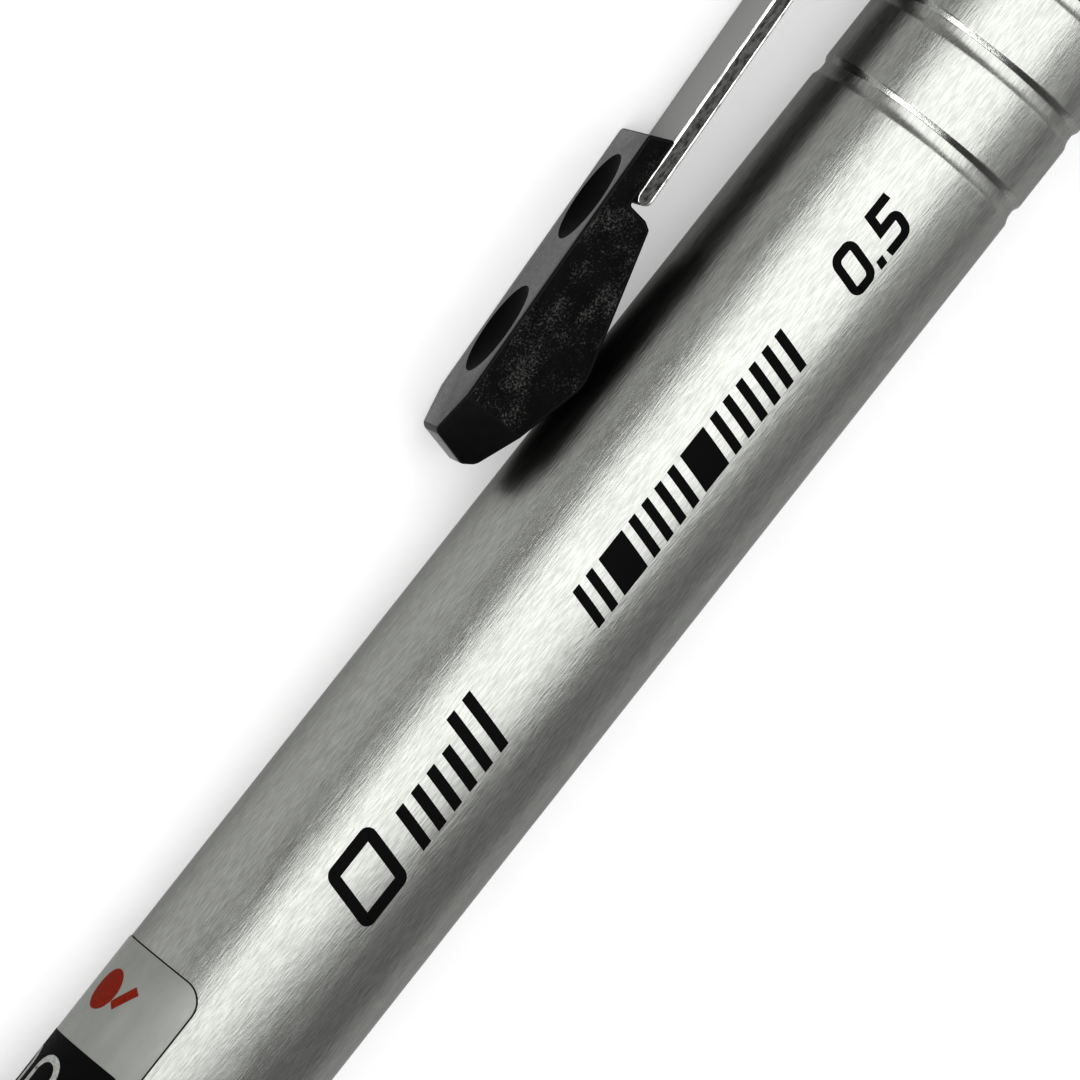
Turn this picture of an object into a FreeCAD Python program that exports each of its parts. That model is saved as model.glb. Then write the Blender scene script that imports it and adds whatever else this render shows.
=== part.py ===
"""Lead holder: an automatic pencil for 0.5 mm leads, in millimetres.

The pencil lies along X with its axis on Y = 0, Z = 0. The origin is on the axis at the rear
end of the plain steel band behind the grip, and +X points to the push button. +Z is up: the
pencil lies on a table at Z = -BARREL_R, rolled until a corner of the clip shoe also touches it.
Stations are distances along the axis from the writing end; at() turns them into X.
"""
import FreeCAD, Part
import math
import os

from FreeCAD import Vector

# ---- driving dimensions -------------------------------------------------------------------
BARREL_R = 5.0              # outside radius of the steel barrel
BARREL_WALL = 0.4
BARREL_FRONT_X = 1.2        # a black flange of the grip core shows between band and barrel
BARREL_END_X = 80.0
TIP_X = -48.0               # X of the writing end
FIT = 0.02                  # radial gap of a sliding or push fit
FACE_GAP = 0.05             # axial gap between faces of pieces that move apart

# rolled rings near the rear end of the barrel
RING_CENTRES = (67.93, 71.83, 75.73)
RING_WIDTH = 0.76
RING_DEPTH = 0.10

# lead, guide sleeve and sliding tip
LEAD_R = 0.25
LEAD_LENGTH = 60.0
LEAD_STICKS_OUT = 0.4
SLEEVE_R = 0.45
SLEEVE_BORE_R = 0.29
SLEEVE_LENGTH = 9.0
SLIDER_FRONT = 7.6
SLIDER_R = 1.3
FLANGE_FRONT = 10.0 + FACE_GAP
FLANGE_REAR = 11.4
FLANGE_R = 2.1
SLIDER_REAR = 12.2
SLIDER_SPIGOT_R = 1.5
RETAINER_FRONT = 9.2
RETAINER_REAR = 11.2
RETAINER_R = 0.9
RETAINER_BORE_R = 0.28
SLIDER_SPRING_R = 2.05      # outside radius
SLIDER_SPRING_WIRE = 0.25
SLIDER_SPRING_TURNS = 6

# nose cone, its stop bush and the grip
NOSE_FRONT = 3.0
NOSE_FRONT_R = 1.2
NOSE_SHOULDER = 22.0
NOSE_SHOULDER_R = 4.6
NOSE_NECK_R = 3.7
NOSE_NECK_END = 28.0
NOSE_STEP = 10.0            # the slider's flange rests here
NOSE_BORE_R = 2.15
INSERT_FRONT = 16.4
INSERT_REAR = 18.0
INSERT_BORE_R = 1.6
MECHANISM_BORE_R = 3.0      # bore of nose neck round the clutch housing
GRIP_REAR = 41.0
GRIP_FRONT_R = 4.6
GRIP_REAR_R = 4.85
GRIP_BORE_R = 4.02
GRIP_RIBS = 12
RIB_DEPTH = 0.3
RIB_GROOVE = 0.7
CORE_R = 4.0
CORE_FLANGE_R = 4.75
CORE_END = 57.0
BAND_REAR = 48.0            # rear end of the plain band, at X = 0

# clutch: ring, jaws, balls, housing and main spring
HOUSING_FRONT = INSERT_REAR + FACE_GAP
HOUSING_R = MECHANISM_BORE_R - FIT
HOUSING_REAR = 44.0
HOUSING_FRONT_BORE_R = 2.05
WEB_FRONT = 26.0
WEB_REAR = 26.8
WEB_BORE_R = 1.45
CHAMBER_R = 2.5
CLUTCH_RING_FRONT = 19.5
CLUTCH_RING_R = 2.0
CLUTCH_RING_BORE_FRONT_R = 1.85
CLUTCH_RING_BORE_REAR_R = 1.40
JAW_FRONT = 18.9
JAW_HEAD_END = 24.5
JAW_HEAD_R = 1.25
JAW_STEM_R = 1.05
JAW_HINGE = 36.0
JAW_SPLIT = 0.05            # each jaw's flat face stands this far off the split plane
JAW_GROOVE_R = 0.27
BALL_STATION = 23.2
BALL_R = 0.4
BALL_PITCH_R = 1.17
HOLDER_FRONT = 31.2
HOLDER_R = 1.7
HOLDER_BORE_R = 1.2
HOLDER_BORE_END = 37.2
HOLDER_FLANGE_FRONT = 37.5
HOLDER_FLANGE_REAR = 38.7
HOLDER_FLANGE_R = 2.42
HOLDER_REAR = 46.0
HOLDER_LEAD_BORE_R = 0.45
MAIN_SPRING_R = 2.4         # outside radius
MAIN_SPRING_WIRE = 0.4
MAIN_SPRING_TURNS = 9

# lead tube and what it feeds
TUBE_R = 2.3
TUBE_BORE_R = 1.9
TUBE_END = 134.0
SPARE_LEADS = 6
SPARE_LEAD_PITCH_R = 1.2
SPARE_LEAD_FRONT = 66.0

# rear bush, collar, push button and eraser
BUSH_FRONT = 112.0
BUSH_GAP = 0.04
BUSH_BORE_R = 2.5
BUSH_NECK_R = 4.0
BUTTON_WELL_FRONT = 126.0
BUTTON_WELL_R = 3.45
BUSH_REAR = 136.0
SHEET = 0.75                # thickness of the clip's spring steel
COLLAR_REAR = 137.2
COLLAR_LIP = 1.0
COLLAR_REAR_R = 4.55
COLLAR_MOUTH_R = 3.5
BUTTON_FRONT = 133.0
BUTTON_REAR = 145.0
BUTTON_R = 3.3
BUTTON_BORE_R = 2.95
BUTTON_END_WALL = 1.4
LINER_FRONT = 134.0
LINER_REAR = 139.5
ERASER_PLUG_FRONT = 129.0
ERASER_CUP_REAR = 138.0
ERASER_CUP_R = 2.8
ERASER_CUP_FLOOR = 0.8
ERASER_R = 2.28
ERASER_REAR = 142.6
PIN_R = 0.2
PIN_FRONT = 112.0
PIN_REAR = 133.6

# clip: stations along X, heights h measured outward from the axis
CLIP_ROLL = 105.0           # degrees from straight up, towards +Y
CLIP_WIDTH = 4.85
STRAP_SLOPE = 3.51          # degrees, rising towards the button
STRAP_DATUM = (61.5, 8.40)  # a point of the strap's outer face
STRAP_END_X = 58.6
TONGUE_WIDTH = 3.0
TONGUE_END_X = 50.0
CLIP_HINGE_X = 79.0
CLIP_HINGE_GAP = 0.04
BEND_OUTER_R = 1.35
TOE_X = 46.0
SHOE_WIDTH = 5.3
SHOE_TOE_WIDTH = 2.2
SHOE_TAPER = 2.2
SHOE_PAD_H = BARREL_R + 0.03
DIMPLE_R = 2.1
DIMPLE_DEPTH = 0.45
DIMPLE_X = (5.27, 11.78)    # behind the toe
DIMPLE_TILT = 3.4           # degrees, slope of the shoe's outer face

# film label on the barrel, under and in front of the clip
LABEL_FRONT_X = 6.0
LABEL_REAR_X = 22.9
LABEL_THICKNESS = 0.06
LABEL_NEAR_EDGE = 65.2      # degrees from the clip, on the upper side
LABEL_FAR_EDGE = 62.0       # degrees from the clip, on the lower side

AXIS_START = Vector(0, 0, 0)
AXIS = Vector(1, 0, 0)


# ---- shape helpers ------------------------------------------------------------------------
def at(station):
    """X of a station given as its distance from the writing end."""
    return TIP_X + station


def corner_cut(before, here, after, radius):
    """Start, middle and end of the arc that rounds the corner at here."""
    to_before = (before - here).normalize()
    to_after = (after - here).normalize()
    half_angle = to_before.getAngle(to_after) / 2
    start = here + to_before * (radius / math.tan(half_angle))
    end = here + to_after * (radius / math.tan(half_angle))
    middle = here + (to_before + to_after).normalize() * (radius / math.sin(half_angle) - radius)
    return start, middle, end


def outline(corners):
    """Closed face in the XZ plane. A corner (x, z, radius) is rounded by a tangent arc."""
    places = [Vector(corner[0], 0, corner[1]) for corner in corners]
    cuts = []
    for index, corner in enumerate(corners):
        here = places[index]
        if len(corner) == 3:
            after = places[(index + 1) % len(places)]
            cuts.append(corner_cut(places[index - 1], here, after, corner[2]))
        else:
            cuts.append((here, None, here))
    edges = []
    for index, (start, middle, end) in enumerate(cuts):
        last = cuts[index - 1][2]
        if last.distanceToPoint(start) > 1e-6:
            edges.append(Part.LineSegment(last, start).toShape())
        if middle is not None:
            edges.append(Part.Arc(start, middle, end).toShape())
    return Part.Face(Part.Wire(edges))


def turned(corners):
    """Solid of revolution about the pencil's axis, from an outline of (x, radius) corners."""
    return outline(corners).revolve(AXIS_START, AXIS, 360)


def tube(start, end, outer, inner):
    """Plain tube between two X places."""
    return turned([(start, inner), (start, outer), (end, outer), (end, inner)])


def rod(start, end, radius):
    """Plain cylinder between two X places, on the axis."""
    return Part.makeCylinder(radius, end - start, Vector(start, 0, 0), AXIS)


def plate(corners, width):
    """Outline in the XZ plane given a width across Y, centred on the axis."""
    face = outline(corners)
    face.translate(Vector(0, -width / 2, 0))
    return face.extrude(Vector(0, width, 0))


def coil(start, end, outer, wire, turns):
    """Compression spring: a helix of round wire between two X places."""
    mean_r = outer - wire / 2
    wire_r = wire / 2
    length = end - start - wire
    helix = Part.makeHelix(length / turns, length, mean_r)
    section = Part.Wire(Part.Circle(Vector(mean_r, 0, 0), Vector(0, 1, 0), wire_r).toShape())
    spring = Part.Wire(helix.Edges).makePipeShell([section], True, True)
    spring.rotate(AXIS_START, Vector(0, 1, 0), 90)
    spring.translate(Vector(start + wire_r, 0, 0))
    return spring


def rolled(shape):
    """Turn a piece made with the clip straight up to where the clip really points."""
    shape.rotate(AXIS_START, AXIS, -CLIP_ROLL)
    return shape


def save(name, shape):
    shape.exportStep("parts/" + name + ".step")


# ---- writing end --------------------------------------------------------------------------
def make_tip():
    save("writing_lead", rod(at(-LEAD_STICKS_OUT), at(LEAD_LENGTH - LEAD_STICKS_OUT), LEAD_R))
    save("guide_sleeve", tube(at(0), at(SLEEVE_LENGTH), SLEEVE_R, SLEEVE_BORE_R))
    slider = turned([
        (at(SLIDER_FRONT), SLEEVE_R),
        (at(SLIDER_FRONT), SLIDER_R),
        (at(FLANGE_FRONT), SLIDER_R),
        (at(FLANGE_FRONT), FLANGE_R),
        (at(FLANGE_REAR), FLANGE_R),
        (at(FLANGE_REAR), SLIDER_SPIGOT_R),
        (at(SLIDER_REAR), SLIDER_SPIGOT_R),
        (at(SLIDER_REAR), RETAINER_R),
        (at(RETAINER_FRONT), RETAINER_R),
        (at(RETAINER_FRONT), LEAD_R + 3 * FIT),
        (at(SLEEVE_LENGTH), LEAD_R + 3 * FIT),
        (at(SLEEVE_LENGTH), SLEEVE_R),
    ])
    save("tip_slider", slider)
    save("lead_retainer", tube(at(RETAINER_FRONT), at(RETAINER_REAR), RETAINER_R, RETAINER_BORE_R))
    save("slider_spring", coil(at(FLANGE_REAR), at(INSERT_FRONT), SLIDER_SPRING_R,
                               SLIDER_SPRING_WIRE, SLIDER_SPRING_TURNS))


def make_nose():
    cone = turned([
        (at(NOSE_FRONT), SLEEVE_R + FACE_GAP),
        (at(NOSE_FRONT), NOSE_FRONT_R, 0.2),
        (at(NOSE_SHOULDER), NOSE_SHOULDER_R),
        (at(NOSE_SHOULDER), NOSE_NECK_R),
        (at(NOSE_NECK_END), NOSE_NECK_R),
        (at(NOSE_NECK_END), MECHANISM_BORE_R),
        (at(INSERT_FRONT), MECHANISM_BORE_R),
        (at(INSERT_FRONT), NOSE_BORE_R),
        (at(NOSE_STEP), NOSE_BORE_R),
        (at(NOSE_STEP), SLIDER_R + FACE_GAP),
        (at(SLIDER_FRONT - FACE_GAP), SLIDER_R + FACE_GAP),
        (at(SLIDER_FRONT - FACE_GAP), SLEEVE_R + FACE_GAP),
    ])
    save("nose_cone", cone)
    save("nose_insert", tube(at(INSERT_FRONT), at(INSERT_REAR), MECHANISM_BORE_R, INSERT_BORE_R))


# ---- grip ---------------------------------------------------------------------------------
def make_grip():
    core = turned([
        (at(NOSE_SHOULDER), NOSE_NECK_R + FIT),
        (at(NOSE_SHOULDER), CORE_R),
        (at(BAND_REAR), CORE_R),
        (at(BAND_REAR), CORE_FLANGE_R),
        (BARREL_FRONT_X, CORE_FLANGE_R),
        (BARREL_FRONT_X, BARREL_R - BARREL_WALL),
        (at(CORE_END), BARREL_R - BARREL_WALL),
        (at(CORE_END), TUBE_R + 15 * FIT),
        (at(HOUSING_REAR), TUBE_R + 15 * FIT),
        (at(HOUSING_REAR), HOUSING_R),
        (at(NOSE_NECK_END + FACE_GAP), HOUSING_R),
        (at(NOSE_NECK_END + FACE_GAP), NOSE_NECK_R + FIT),
    ])
    save("grip_core", core)
    front = at(NOSE_SHOULDER + FACE_GAP)
    rear = at(GRIP_REAR)
    pitch = (rear - front) / (GRIP_RIBS + 1)
    sleeve = turned([
        (front, GRIP_BORE_R),
        (front, GRIP_FRONT_R, 0.3),
        (rear, GRIP_REAR_R),
        (rear, GRIP_BORE_R),
    ])
    for rib in range(1, GRIP_RIBS + 1):
        middle = front + rib * pitch
        surface_r = GRIP_FRONT_R + (GRIP_REAR_R - GRIP_FRONT_R) * rib / (GRIP_RIBS + 1)
        floor_r = surface_r - RIB_DEPTH
        groove = tube(middle - RIB_GROOVE / 2, middle + RIB_GROOVE / 2, BARREL_R + 1, floor_r)
        sleeve = sleeve.cut(groove)
    save("grip_sleeve", sleeve)
    save("trim_ring", tube(rear, at(BAND_REAR), BARREL_R, GRIP_BORE_R))


# ---- clutch -------------------------------------------------------------------------------
def make_jaw(side):
    """Half of the split chuck; side is +1 for the upper jaw and -1 for the lower one.

    Its rear end is a knuckle turned about the hinge axis, so it can rock in the holder's bore.
    """
    knuckle_end = at(JAW_HINGE) + JAW_STEM_R
    body = turned([
        (at(JAW_FRONT), 0),
        (at(JAW_FRONT), JAW_HEAD_R, 0.2),
        (at(JAW_HEAD_END), JAW_HEAD_R),
        (at(JAW_HEAD_END) + 0.4, JAW_STEM_R),
        (knuckle_end, JAW_STEM_R),
        (knuckle_end, 0),
    ])
    width = 4 * JAW_HEAD_R
    blade = Part.makeBox(JAW_HINGE - JAW_FRONT, width, 2 * JAW_HEAD_R,
                         Vector(at(JAW_FRONT), -width / 2, -JAW_HEAD_R))
    knuckle = Part.makeCylinder(JAW_STEM_R, width,
                                Vector(at(JAW_HINGE), -width / 2, 0), Vector(0, 1, 0))
    half = Part.makeBox(knuckle_end - at(JAW_FRONT), width, 2 * JAW_HEAD_R,
                        Vector(at(JAW_FRONT), -width / 2, JAW_SPLIT))
    if side < 0:
        half = half.mirror(Vector(0, 0, 0), Vector(0, 0, 1))
    jaw = body.common(blade.fuse(knuckle)).common(half)
    jaw = jaw.cut(rod(at(JAW_FRONT) - 1, knuckle_end + 1, JAW_GROOVE_R))
    pocket = Part.makeSphere(BALL_R + FIT, Vector(at(BALL_STATION), 0, side * BALL_PITCH_R))
    return jaw.cut(pocket)


def make_clutch():
    for name, side in (("upper", 1), ("lower", -1)):
        save("clutch_jaw_" + name, make_jaw(side))
        centre = Vector(at(BALL_STATION), 0, side * BALL_PITCH_R)
        save("clutch_ball_" + name, Part.makeSphere(BALL_R, centre))
    ring = turned([
        (at(CLUTCH_RING_FRONT), CLUTCH_RING_BORE_FRONT_R),
        (at(CLUTCH_RING_FRONT), CLUTCH_RING_R),
        (at(WEB_FRONT - FACE_GAP), CLUTCH_RING_R),
        (at(WEB_FRONT - FACE_GAP), CLUTCH_RING_BORE_REAR_R),
    ])
    save("clutch_ring", ring)
    housing = turned([
        (at(HOUSING_FRONT), HOUSING_FRONT_BORE_R),
        (at(HOUSING_FRONT), HOUSING_R),
        (at(HOUSING_REAR), HOUSING_R),
        (at(HOUSING_REAR), CHAMBER_R),
        (at(WEB_REAR), CHAMBER_R),
        (at(WEB_REAR), WEB_BORE_R),
        (at(WEB_FRONT), WEB_BORE_R),
        (at(WEB_FRONT), HOUSING_FRONT_BORE_R),
    ])
    save("clutch_housing", housing)
    holder = turned([
        (at(HOLDER_FRONT), HOLDER_BORE_R),
        (at(HOLDER_FRONT), HOLDER_R),
        (at(HOLDER_FLANGE_FRONT), HOLDER_R),
        (at(HOLDER_FLANGE_FRONT), HOLDER_FLANGE_R),
        (at(HOLDER_FLANGE_REAR), HOLDER_FLANGE_R),
        (at(HOLDER_FLANGE_REAR), TUBE_BORE_R),
        (at(HOLDER_REAR), TUBE_BORE_R),
        (at(HOLDER_REAR), TUBE_BORE_R - 0.3),
        (at(HOLDER_BORE_END + 2), HOLDER_LEAD_BORE_R),
        (at(HOLDER_BORE_END), HOLDER_LEAD_BORE_R),
        (at(HOLDER_BORE_END), HOLDER_BORE_R),
    ])
    save("chuck_holder", holder)
    save("main_spring", coil(at(WEB_REAR), at(HOLDER_FLANGE_FRONT), MAIN_SPRING_R,
                             MAIN_SPRING_WIRE, MAIN_SPRING_TURNS))


# ---- lead store ---------------------------------------------------------------------------
def make_lead_store():
    save("lead_tube", tube(at(HOLDER_FLANGE_REAR), at(TUBE_END), TUBE_R, TUBE_BORE_R))
    leads = []
    for number in range(SPARE_LEADS):
        angle = 2 * math.pi * number / SPARE_LEADS
        across = SPARE_LEAD_PITCH_R * math.cos(angle)
        up = SPARE_LEAD_PITCH_R * math.sin(angle)
        lead = rod(at(SPARE_LEAD_FRONT), at(SPARE_LEAD_FRONT + LEAD_LENGTH), LEAD_R)
        lead.translate(Vector(0, across, up))
        leads.append(lead)
    save("spare_leads", Part.makeCompound(leads))


# ---- barrel and its fittings --------------------------------------------------------------
def ring_outline(centre, mouth_r):
    """Cross-section of a rolled ring: a shallow round channel, cut in from mouth_r."""
    half = RING_WIDTH / 2
    left = Vector(centre - half, 0, mouth_r)
    right = Vector(centre + half, 0, mouth_r)
    floor = Vector(centre, 0, mouth_r - RING_DEPTH)
    above_left = Vector(centre - half, 0, mouth_r + 1)
    above_right = Vector(centre + half, 0, mouth_r + 1)
    edges = [
        Part.Arc(left, floor, right).toShape(),
        Part.LineSegment(right, above_right).toShape(),
        Part.LineSegment(above_right, above_left).toShape(),
        Part.LineSegment(above_left, left).toShape(),
    ]
    return Part.Face(Part.Wire(edges))


def rolled_rings(mouth_r):
    """Ring-shaped cutters, one for each rolled ring."""
    rings = []
    for centre in RING_CENTRES:
        rings.append(ring_outline(centre, mouth_r).revolve(AXIS_START, AXIS, 360))
    return Part.makeCompound(rings)


def make_barrel():
    inner_r = BARREL_R - BARREL_WALL
    shell = rod(BARREL_FRONT_X, BARREL_END_X, BARREL_R).cut(rolled_rings(BARREL_R))
    core = rod(BARREL_FRONT_X, BARREL_END_X, inner_r).cut(rolled_rings(inner_r))
    save("barrel_tube", shell.cut(core))
    bush = turned([
        (at(BUSH_FRONT), BUSH_BORE_R),
        (at(BUSH_FRONT), inner_r - BUSH_GAP),
        (BARREL_END_X, inner_r - BUSH_GAP),
        (BARREL_END_X, BUSH_NECK_R),
        (at(BUSH_REAR), BUSH_NECK_R),
        (at(BUSH_REAR), BUTTON_WELL_R),
        (at(BUTTON_WELL_FRONT), BUTTON_WELL_R),
        (at(BUTTON_WELL_FRONT), BUSH_BORE_R),
    ])
    save("rear_bush", bush.cut(rolled_rings(inner_r - BUSH_GAP)))
    collar = turned([
        (BARREL_END_X + SHEET, BUSH_NECK_R),
        (BARREL_END_X + SHEET, BARREL_R),
        (at(COLLAR_REAR - 2), BARREL_R, 3.0),
        (at(COLLAR_REAR), COLLAR_REAR_R, 0.3),
        (at(COLLAR_REAR), COLLAR_MOUTH_R),
        (at(COLLAR_REAR - COLLAR_LIP), COLLAR_MOUTH_R),
        (at(COLLAR_REAR - COLLAR_LIP), BUSH_NECK_R),
    ])
    save("end_collar", collar)


def make_button():
    button = turned([
        (at(BUTTON_FRONT), BUTTON_BORE_R),
        (at(BUTTON_FRONT), BUTTON_R),
        (at(BUTTON_REAR - 0.7), BUTTON_R, 1.0),
        (at(BUTTON_REAR), 0),
        (at(BUTTON_REAR - BUTTON_END_WALL), 0),
        (at(BUTTON_REAR - BUTTON_END_WALL), BUTTON_BORE_R),
    ])
    save("push_button", button)
    save("button_liner", tube(at(LINER_FRONT), at(LINER_REAR), BUTTON_BORE_R, ERASER_CUP_R + 0.03))
    holder = turned([
        (at(ERASER_PLUG_FRONT), PIN_R),
        (at(ERASER_PLUG_FRONT), TUBE_BORE_R),
        (at(TUBE_END), TUBE_BORE_R),
        (at(TUBE_END), ERASER_CUP_R),
        (at(ERASER_CUP_REAR), ERASER_CUP_R),
        (at(ERASER_CUP_REAR), ERASER_R),
        (at(TUBE_END + ERASER_CUP_FLOOR), ERASER_R),
        (at(TUBE_END + ERASER_CUP_FLOOR), 0),
        (at(PIN_REAR), 0),
        (at(PIN_REAR), PIN_R),
    ])
    save("eraser_holder", holder)
    eraser = turned([
        (at(TUBE_END + ERASER_CUP_FLOOR), 0),
        (at(TUBE_END + ERASER_CUP_FLOOR), ERASER_R),
        (at(ERASER_REAR), ERASER_R, 0.4),
        (at(ERASER_REAR), 0),
    ])
    save("eraser", eraser)
    save("cleaning_pin", rod(at(PIN_FRONT), at(PIN_REAR), PIN_R))


# ---- clip ---------------------------------------------------------------------------------
def strap_face(x, depth):
    """Height of the strap at x, depth below its outer face (square to the slope)."""
    slope = math.radians(STRAP_SLOPE)
    return STRAP_DATUM[1] + (x - STRAP_DATUM[0]) * math.tan(slope) - depth / math.cos(slope)


def hinge_rod(radius):
    """Cylinder across the strap at the bend line where the clip flexes."""
    height = strap_face(CLIP_HINGE_X, SHEET / 2)
    start = Vector(CLIP_HINGE_X, -CLIP_WIDTH / 2, height)
    return Part.makeCylinder(radius, CLIP_WIDTH, start, Vector(0, 1, 0))


def make_clip_ring():
    """Washer under the collar, with the tab that rises from it and bends over the barrel."""
    back = BARREL_END_X + SHEET
    foot = BUSH_NECK_R + 0.4
    washer = tube(BARREL_END_X, back, BARREL_R, BUSH_NECK_R)
    tab = plate([
        (BARREL_END_X, foot),
        (BARREL_END_X, strap_face(BARREL_END_X, SHEET), BEND_OUTER_R - SHEET),
        (CLIP_HINGE_X, strap_face(CLIP_HINGE_X, SHEET)),
        (CLIP_HINGE_X, strap_face(CLIP_HINGE_X, 0)),
        (back, strap_face(back, 0), BEND_OUTER_R),
        (back, foot),
    ], CLIP_WIDTH)
    ring = washer.fuse(tab).fuse(hinge_rod(SHEET / 2))
    save("clip_ring", rolled(ring.removeSplitter()))


def strap_solid(front_x, width):
    """Straight length of the strap from front_x to the hinge line."""
    return plate([
        (front_x, strap_face(front_x, SHEET), 0.2),
        (front_x, strap_face(front_x, 0), 0.2),
        (CLIP_HINGE_X, strap_face(CLIP_HINGE_X, 0)),
        (CLIP_HINGE_X, strap_face(CLIP_HINGE_X, SHEET)),
    ], width)


def make_strap():
    strap = strap_solid(STRAP_END_X, CLIP_WIDTH).fuse(strap_solid(TONGUE_END_X, TONGUE_WIDTH))
    strap = strap.cut(hinge_rod(SHEET / 2 + CLIP_HINGE_GAP))
    save("clip_strap", rolled(strap))


def shoe_outline():
    """Side view of the shoe: flat outer face, shallow V below with its pad on the barrel."""
    roof_x = TOE_X + 15.45
    heel_x = TOE_X + 12.3
    return [
        (TOE_X, 6.76),
        (TOE_X + 0.4, 8.54, 0.3),
        (TOE_X + 15.0, 9.40, 0.2),
        (roof_x, strap_face(roof_x, 0)),
        (heel_x, strap_face(heel_x, 0)),
        (heel_x - 0.1, 7.3),
        (heel_x - 0.3, 6.95, 0.2),
        (TOE_X + 5.5, SHOE_PAD_H, 2.0),
        (TOE_X + 0.35, 6.29, 0.5),
    ]


def make_shoe():
    shoe = plate(shoe_outline(), SHOE_WIDTH)
    slope_face = [
        Vector(TOE_X - 1, SHOE_TOE_WIDTH / 2 - (SHOE_WIDTH - SHOE_TOE_WIDTH) / 2 / SHOE_TAPER, 0),
        Vector(TOE_X + SHOE_TAPER, SHOE_WIDTH / 2, 0),
        Vector(TOE_X + SHOE_TAPER, SHOE_WIDTH, 0),
        Vector(TOE_X - 1, SHOE_WIDTH, 0),
    ]
    for side in (1, -1):
        points = [Vector(place.x, side * place.y, 0) for place in slope_face]
        wedge = Part.Face(Part.makePolygon(points + points[:1])).extrude(Vector(0, 0, 12))
        shoe = shoe.cut(wedge)
    for behind_toe in DIMPLE_X:
        sphere_r = (DIMPLE_R ** 2 + DIMPLE_DEPTH ** 2) / (2 * DIMPLE_DEPTH)
        tilt = math.radians(DIMPLE_TILT)
        face_h = 8.54 + (behind_toe - 0.4) * math.tan(tilt)
        above = sphere_r - DIMPLE_DEPTH
        centre = Vector(TOE_X + behind_toe - above * math.sin(tilt), 0, face_h + above * math.cos(tilt))
        shoe = shoe.cut(Part.makeSphere(sphere_r, centre))
    shoe = shoe.cut(strap_solid(TONGUE_END_X, TONGUE_WIDTH))
    save("clip_shoe", rolled(shoe))


# ---- label --------------------------------------------------------------------------------
def make_label():
    outer_r = BARREL_R + LABEL_THICKNESS
    film = tube(LABEL_FRONT_X, LABEL_REAR_X, outer_r, BARREL_R)
    film.rotate(AXIS_START, AXIS, LABEL_FAR_EDGE)
    span = LABEL_NEAR_EDGE + LABEL_FAR_EDGE
    wedge = outline([
        (LABEL_FRONT_X, 0),
        (LABEL_FRONT_X, 2 * BARREL_R),
        (LABEL_REAR_X, 2 * BARREL_R),
        (LABEL_REAR_X, 0),
    ]).revolve(AXIS_START, AXIS, span)
    wedge.rotate(AXIS_START, AXIS, -LABEL_FAR_EDGE)
    film = film.common(wedge)
    save("barrel_label", rolled(film))


make_tip()
make_nose()
make_grip()
make_clutch()
make_lead_store()
make_barrel()
make_button()
make_clip_ring()
make_strap()
make_shoe()
make_label()
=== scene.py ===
"""Looks of the lead holder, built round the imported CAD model. Everything is in the CAD frame, in metres."""
import math

import bmesh
import bpy
from mathutils import Matrix, Vector


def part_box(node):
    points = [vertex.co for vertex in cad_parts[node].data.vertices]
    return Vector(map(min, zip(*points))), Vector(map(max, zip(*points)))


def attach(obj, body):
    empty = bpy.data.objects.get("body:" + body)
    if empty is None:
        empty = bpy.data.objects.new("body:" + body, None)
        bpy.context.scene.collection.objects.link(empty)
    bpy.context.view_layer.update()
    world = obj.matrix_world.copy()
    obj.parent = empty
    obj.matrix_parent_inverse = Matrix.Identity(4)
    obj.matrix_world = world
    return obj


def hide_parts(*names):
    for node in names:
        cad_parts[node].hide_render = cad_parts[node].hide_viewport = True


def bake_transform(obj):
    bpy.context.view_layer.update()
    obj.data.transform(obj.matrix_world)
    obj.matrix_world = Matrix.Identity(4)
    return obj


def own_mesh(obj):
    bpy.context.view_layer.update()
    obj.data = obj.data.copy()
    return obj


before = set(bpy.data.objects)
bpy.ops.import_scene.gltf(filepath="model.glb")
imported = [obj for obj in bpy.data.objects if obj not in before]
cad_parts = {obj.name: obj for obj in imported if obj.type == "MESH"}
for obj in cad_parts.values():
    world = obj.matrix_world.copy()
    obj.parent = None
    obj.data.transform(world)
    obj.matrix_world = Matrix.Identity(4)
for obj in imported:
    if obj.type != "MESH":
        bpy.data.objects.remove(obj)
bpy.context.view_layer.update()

MM = 0.001
AXIS_STEPS = 192            # facets round the barrel
CLIP_AZIMUTH = 105.0        # degrees from straight up, towards +Y
VIEW_AZIMUTH = 28.0         # the camera's side of the pencil, same measure


# ---- sizes taken from the CAD model, in millimetres ---------------------------------------
def span(node, axis=0):
    """Lowest and highest coordinate of a CAD node along one axis, in millimetres."""
    low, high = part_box(node)
    return low[axis] / MM, high[axis] / MM


BARREL_FRONT, BARREL_END = span("barrel_tube")
BARREL_R = span("barrel_tube", 2)[1]
BARREL_WALL = 0.4
RING_COUNT = 3
RING_PITCH = 3.9
RING_FIRST = 67.93          # x of the first rolled ring's centre
RING_WALL = (0.26, 0.56)    # where a ring's steep rear wall lies, behind its centre
BORE_R = 4.02               # inner radius of the band, the grip and the clip's washer
TOE = span("clip_shoe")[0]  # x of the clip shoe's front end
SHOE_WIDTH = 5.3
SHOE_HEEL = 12.3            # from the toe back to where the strap leaves the shoe's underside
SHOE_ROOF = 15.45           # from the toe back to the end of the shoe's outer face
BROW = 0.4                  # from the toe back to the corner where the outer face begins
BROW_HEIGHT = 8.54          # of that corner above the pencil's axis
DIMPLE_R = 2.1
DIMPLE_DEPTH = 0.45
DIMPLES = (5.27, 11.78)     # from the toe back to each dimple's centre
LABEL_FRONT, LABEL_REAR = span("barrel_label")
LABEL_BELOW = 62.0          # degrees that the label reaches round the barrel below the clip's line
LABEL_ABOVE = 65.2          # and above it
STRAP_SLOPE = math.radians(3.51)
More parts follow.
